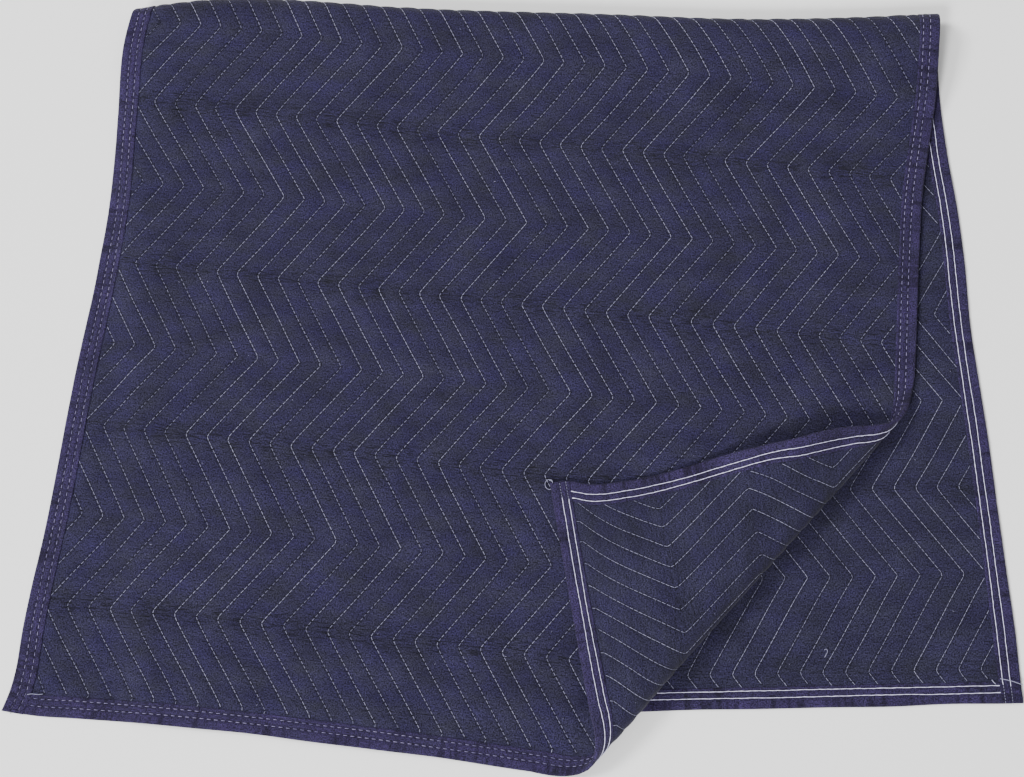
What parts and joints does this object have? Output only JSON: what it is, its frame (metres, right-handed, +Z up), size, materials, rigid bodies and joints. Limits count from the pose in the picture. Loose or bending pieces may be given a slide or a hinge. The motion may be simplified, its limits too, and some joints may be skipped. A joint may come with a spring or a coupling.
{
  "type": "moving blanket",
  "caption": "Quilted moving blanket with bound edges, lying flat, folded in half with one corner of its upper layer turned back.",
  "frame": {"origin": "middle of the folded blanket's footprint, on the surface it lies on", "axes": "+Z up; +X to the right along the fold; +Y away from the two free ends, towards the fold"},
  "size_m": [1.1786, 0.9468, 0.0587],
  "materials": {
    "quilted_cloth": "dull navy woven cloth over soft wadding, quilted in zigzag lines with pale thread",
    "binding_cloth": "dull purplish navy woven binding, folded over the edge and sewn through in two lines"
  },
  "bodies": {
    "root": {"quilted_panel": "quilted_cloth", "binding_left": "binding_cloth", "binding_right": "binding_cloth", "binding_front_end": "binding_cloth", "binding_back_end": "binding_cloth"}
  },
  "joints": []
}
